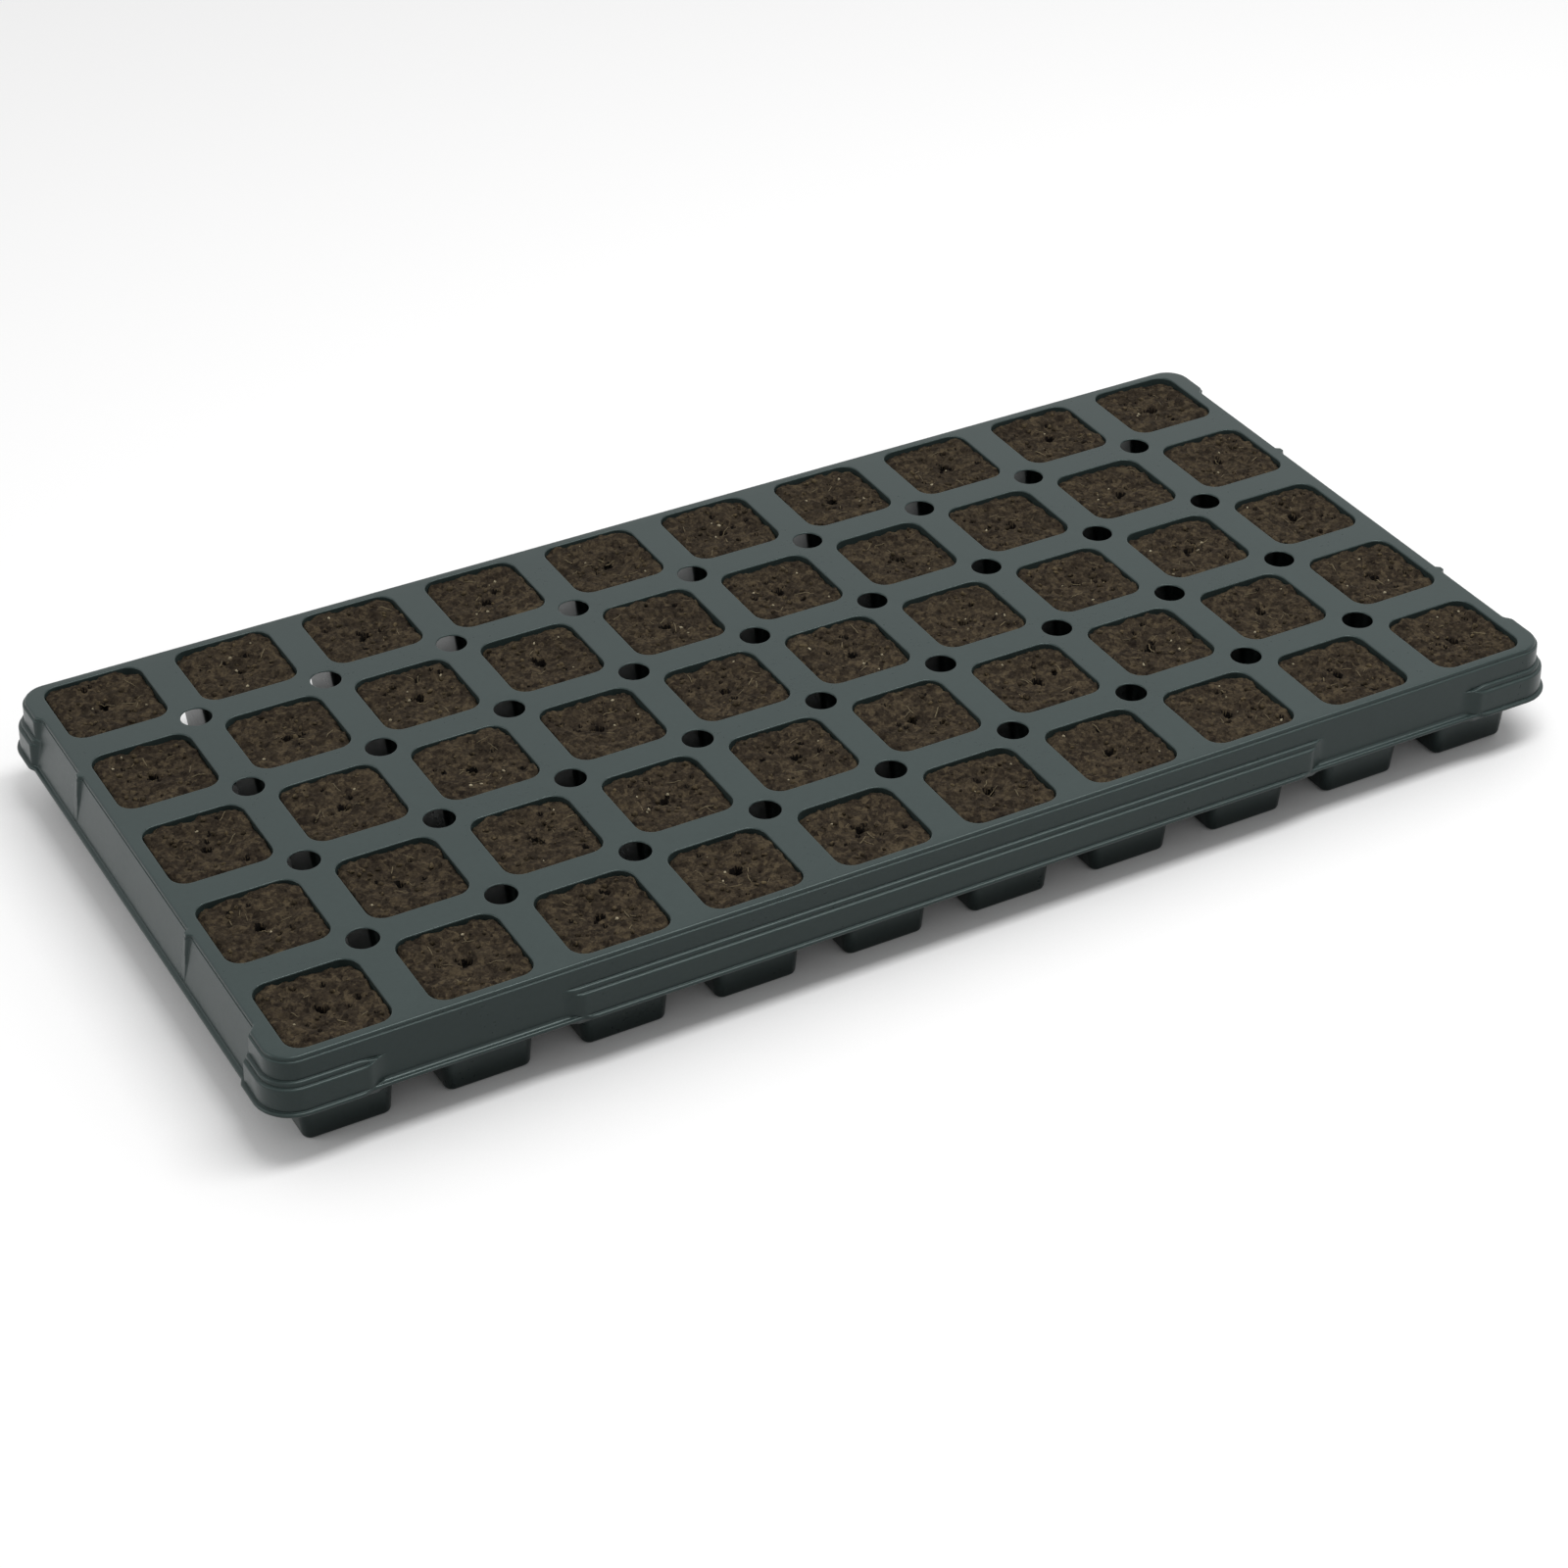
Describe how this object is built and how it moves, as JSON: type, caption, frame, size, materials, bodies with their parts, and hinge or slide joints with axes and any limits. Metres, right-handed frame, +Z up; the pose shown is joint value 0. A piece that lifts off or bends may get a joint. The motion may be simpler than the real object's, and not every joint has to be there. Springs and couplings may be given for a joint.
{
  "type": "seed tray",
  "caption": "Shallow moulded tray of tapered square cells under a flat vented deck with a stepped rim, each cell holding a lift-out plug of growing medium for seeds or cuttings",
  "frame": {"origin": "on the ground plane under the centre of the tray, where its cell bottoms rest", "axes": "+X along the long side to the right of the front, +Y from the front long side to the back one, +Z up out of the cells"},
  "size_m": [0.54, 0.268, 0.043],
  "materials": {
    "tray_plastic": "satin, dark grey-green moulded plastic",
    "growing_medium": "rough, bound peat and fibre"
  },
  "bodies": {
    "tray": {"tray": "tray_plastic"},
    "plug_row1_col01": {"plug_row1_col01": "growing_medium"},
    "plug_row1_col02": {"plug_row1_col02": "growing_medium"},
    "plug_row1_col03": {"plug_row1_col03": "growing_medium"},
    "plug_row1_col04": {"plug_row1_col04": "growing_medium"},
    "plug_row1_col05": {"plug_row1_col05": "growing_medium"},
    "plug_row1_col06": {"plug_row1_col06": "growing_medium"},
    "plug_row1_col07": {"plug_row1_col07": "growing_medium"},
    "plug_row1_col08": {"plug_row1_col08": "growing_medium"},
    "plug_row1_col09": {"plug_row1_col09": "growing_medium"},
    "plug_row1_col10": {"plug_row1_col10": "growing_medium"},
    "plug_row2_col01": {"plug_row2_col01": "growing_medium"},
    "plug_row2_col02": {"plug_row2_col02": "growing_medium"},
    "plug_row2_col03": {"plug_row2_col03": "growing_medium"},
    "plug_row2_col04": {"plug_row2_col04": "growing_medium"},
    "plug_row2_col05": {"plug_row2_col05": "growing_medium"},
    "plug_row2_col06": {"plug_row2_col06": "growing_medium"},
    "plug_row2_col07": {"plug_row2_col07": "growing_medium"},
    "plug_row2_col08": {"plug_row2_col08": "growing_medium"},
    "plug_row2_col09": {"plug_row2_col09": "growing_medium"},
    "plug_row2_col10": {"plug_row2_col10": "growing_medium"},
    "plug_row3_col01": {"plug_row3_col01": "growing_medium"},
    "plug_row3_col02": {"plug_row3_col02": "growing_medium"},
    "plug_row3_col03": {"plug_row3_col03": "growing_medium"},
    "plug_row3_col04": {"plug_row3_col04": "growing_medium"},
    "plug_row3_col05": {"plug_row3_col05": "growing_medium"},
    "plug_row3_col06": {"plug_row3_col06": "growing_medium"},
    "plug_row3_col07": {"plug_row3_col07": "growing_medium"},
    "plug_row3_col08": {"plug_row3_col08": "growing_medium"},
    "plug_row3_col09": {"plug_row3_col09": "growing_medium"},
    "plug_row3_col10": {"plug_row3_col10": "growing_medium"},
    "plug_row4_col01": {"plug_row4_col01": "growing_medium"},
    "plug_row4_col02": {"plug_row4_col02": "growing_medium"},
    "plug_row4_col03": {"plug_row4_col03": "growing_medium"},
    "plug_row4_col04": {"plug_row4_col04": "growing_medium"},
    "plug_row4_col05": {"plug_row4_col05": "growing_medium"},
    "plug_row4_col06": {"plug_row4_col06": "growing_medium"},
    "plug_row4_col07": {"plug_row4_col07": "growing_medium"},
    "plug_row4_col08": {"plug_row4_col08": "growing_medium"},
    "plug_row4_col09": {"plug_row4_col09": "growing_medium"},
    "plug_row4_col10": {"plug_row4_col10": "growing_medium"},
    "plug_row5_col01": {"plug_row5_col01": "growing_medium"},
    "plug_row5_col02": {"plug_row5_col02": "growing_medium"},
    "plug_row5_col03": {"plug_row5_col03": "growing_medium"},
    "plug_row5_col04": {"plug_row5_col04": "growing_medium"},
    "plug_row5_col05": {"plug_row5_col05": "growing_medium"},
    "plug_row5_col06": {"plug_row5_col06": "growing_medium"},
    "plug_row5_col07": {"plug_row5_col07": "growing_medium"},
    "plug_row5_col08": {"plug_row5_col08": "growing_medium"},
    "plug_row5_col09": {"plug_row5_col09": "growing_medium"},
    "plug_row5_col10": {"plug_row5_col10": "growing_medium"}
  },
  "joints": [
    {"name": "lift_row1_col01", "type": "slide", "parent": "tray", "child": "plug_row1_col01", "axis": [0, 0, 1], "range_m": [0, 0.045]},
    {"name": "lift_row1_col02", "type": "slide", "parent": "tray", "child": "plug_row1_col02", "axis": [0, 0, 1], "range_m": [0, 0.045]},
    {"name": "lift_row1_col03", "type": "slide", "parent": "tray", "child": "plug_row1_col03", "axis": [0, 0, 1], "range_m": [0, 0.045]},
    {"name": "lift_row1_col04", "type": "slide", "parent": "tray", "child": "plug_row1_col04", "axis": [0, 0, 1], "range_m": [0, 0.045]},
    {"name": "lift_row1_col05", "type": "slide", "parent": "tray", "child": "plug_row1_col05", "axis": [0, 0, 1], "range_m": [0, 0.045]},
    {"name": "lift_row1_col06", "type": "slide", "parent": "tray", "child": "plug_row1_col06", "axis": [0, 0, 1], "range_m": [0, 0.045]},
    {"name": "lift_row1_col07", "type": "slide", "parent": "tray", "child": "plug_row1_col07", "axis": [0, 0, 1], "range_m": [0, 0.045]},
    {"name": "lift_row1_col08", "type": "slide", "parent": "tray", "child": "plug_row1_col08", "axis": [0, 0, 1], "range_m": [0, 0.045]},
    {"name": "lift_row1_col09", "type": "slide", "parent": "tray", "child": "plug_row1_col09", "axis": [0, 0, 1], "range_m": [0, 0.045]},
    {"name": "lift_row1_col10", "type": "slide", "parent": "tray", "child": "plug_row1_col10", "axis": [0, 0, 1], "range_m": [0, 0.045]},
    {"name": "lift_row2_col01", "type": "slide", "parent": "tray", "child": "plug_row2_col01", "axis": [0, 0, 1], "range_m": [0, 0.045]},
    {"name": "lift_row2_col02", "type": "slide", "parent": "tray", "child": "plug_row2_col02", "axis": [0, 0, 1], "range_m": [0, 0.045]},
    {"name": "lift_row2_col03", "type": "slide", "parent": "tray", "child": "plug_row2_col03", "axis": [0, 0, 1], "range_m": [0, 0.045]},
    {"name": "lift_row2_col04", "type": "slide", "parent": "tray", "child": "plug_row2_col04", "axis": [0, 0, 1], "range_m": [0, 0.045]},
    {"name": "lift_row2_col05", "type": "slide", "parent": "tray", "child": "plug_row2_col05", "axis": [0, 0, 1], "range_m": [0, 0.045]},
    {"name": "lift_row2_col06", "type": "slide", "parent": "tray", "child": "plug_row2_col06", "axis": [0, 0, 1], "range_m": [0, 0.045]},
    {"name": "lift_row2_col07", "type": "slide", "parent": "tray", "child": "plug_row2_col07", "axis": [0, 0, 1], "range_m": [0, 0.045]},
    {"name": "lift_row2_col08", "type": "slide", "parent": "tray", "child": "plug_row2_col08", "axis": [0, 0, 1], "range_m": [0, 0.045]},
    {"name": "lift_row2_col09", "type": "slide", "parent": "tray", "child": "plug_row2_col09", "axis": [0, 0, 1], "range_m": [0, 0.045]},
    {"name": "lift_row2_col10", "type": "slide", "parent": "tray", "child": "plug_row2_col10", "axis": [0, 0, 1], "range_m": [0, 0.045]},
    {"name": "lift_row3_col01", "type": "slide", "parent": "tray", "child": "plug_row3_col01", "axis": [0, 0, 1], "range_m": [0, 0.045]},
    {"name": "lift_row3_col02", "type": "slide", "parent": "tray", "child": "plug_row3_col02", "axis": [0, 0, 1], "range_m": [0, 0.045]},
    {"name": "lift_row3_col03", "type": "slide", "parent": "tray", "child": "plug_row3_col03", "axis": [0, 0, 1], "range_m": [0, 0.045]},
    {"name": "lift_row3_col04", "type": "slide", "parent": "tray", "child": "plug_row3_col04", "axis": [0, 0, 1], "range_m": [0, 0.045]},
    {"name": "lift_row3_col05", "type": "slide", "parent": "tray", "child": "plug_row3_col05", "axis": [0, 0, 1], "range_m": [0, 0.045]},
    {"name": "lift_row3_col06", "type": "slide", "parent": "tray", "child": "plug_row3_col06", "axis": [0, 0, 1], "range_m": [0, 0.045]},
    {"name": "lift_row3_col07", "type": "slide", "parent": "tray", "child": "plug_row3_col07", "axis": [0, 0, 1], "range_m": [0, 0.045]},
    {"name": "lift_row3_col08", "type": "slide", "parent": "tray", "child": "plug_row3_col08", "axis": [0, 0, 1], "range_m": [0, 0.045]},
    {"name": "lift_row3_col09", "type": "slide", "parent": "tray", "child": "plug_row3_col09", "axis": [0, 0, 1], "range_m": [0, 0.045]},
    {"name": "lift_row3_col10", "type": "slide", "parent": "tray", "child": "plug_row3_col10", "axis": [0, 0, 1], "range_m": [0, 0.045]},
    {"name": "lift_row4_col01", "type": "slide", "parent": "tray", "child": "plug_row4_col01", "axis": [0, 0, 1], "range_m": [0, 0.045]},
    {"name": "lift_row4_col02", "type": "slide", "parent": "tray", "child": "plug_row4_col02", "axis": [0, 0, 1], "range_m": [0, 0.045]},
    {"name": "lift_row4_col03", "type": "slide", "parent": "tray", "child": "plug_row4_col03", "axis": [0, 0, 1], "range_m": [0, 0.045]},
    {"name": "lift_row4_col04", "type": "slide", "parent": "tray", "child": "plug_row4_col04", "axis": [0, 0, 1], "range_m": [0, 0.045]},
    {"name": "lift_row4_col05", "type": "slide", "parent": "tray", "child": "plug_row4_col05", "axis": [0, 0, 1], "range_m": [0, 0.045]},
    {"name": "lift_row4_col06", "type": "slide", "parent": "tray", "child": "plug_row4_col06", "axis": [0, 0, 1], "range_m": [0, 0.045]},
    {"name": "lift_row4_col07", "type": "slide", "parent": "tray", "child": "plug_row4_col07", "axis": [0, 0, 1], "range_m": [0, 0.045]},
    {"name": "lift_row4_col08", "type": "slide", "parent": "tray", "child": "plug_row4_col08", "axis": [0, 0, 1], "range_m": [0, 0.045]},
    {"name": "lift_row4_col09", "type": "slide", "parent": "tray", "child": "plug_row4_col09", "axis": [0, 0, 1], "range_m": [0, 0.045]},
    {"name": "lift_row4_col10", "type": "slide", "parent": "tray", "child": "plug_row4_col10", "axis": [0, 0, 1], "range_m": [0, 0.045]},
    {"name": "lift_row5_col01", "type": "slide", "parent": "tray", "child": "plug_row5_col01", "axis": [0, 0, 1], "range_m": [0, 0.045]},
    {"name": "lift_row5_col02", "type": "slide", "parent": "tray", "child": "plug_row5_col02", "axis": [0, 0, 1], "range_m": [0, 0.045]},
    {"name": "lift_row5_col03", "type": "slide", "parent": "tray", "child": "plug_row5_col03", "axis": [0, 0, 1], "range_m": [0, 0.045]},
    {"name": "lift_row5_col04", "type": "slide", "parent": "tray", "child": "plug_row5_col04", "axis": [0, 0, 1], "range_m": [0, 0.045]},
    {"name": "lift_row5_col05", "type": "slide", "parent": "tray", "child": "plug_row5_col05", "axis": [0, 0, 1], "range_m": [0, 0.045]},
    {"name": "lift_row5_col06", "type": "slide", "parent": "tray", "child": "plug_row5_col06", "axis": [0, 0, 1], "range_m": [0, 0.045]},
    {"name": "lift_row5_col07", "type": "slide", "parent": "tray", "child": "plug_row5_col07", "axis": [0, 0, 1], "range_m": [0, 0.045]},
    {"name": "lift_row5_col08", "type": "slide", "parent": "tray", "child": "plug_row5_col08", "axis": [0, 0, 1], "range_m": [0, 0.045]},
    {"name": "lift_row5_col09", "type": "slide", "parent": "tray", "child": "plug_row5_col09", "axis": [0, 0, 1], "range_m": [0, 0.045]},
    {"name": "lift_row5_col10", "type": "slide", "parent": "tray", "child": "plug_row5_col10", "axis": [0, 0, 1], "range_m": [0, 0.045]}
  ]
}
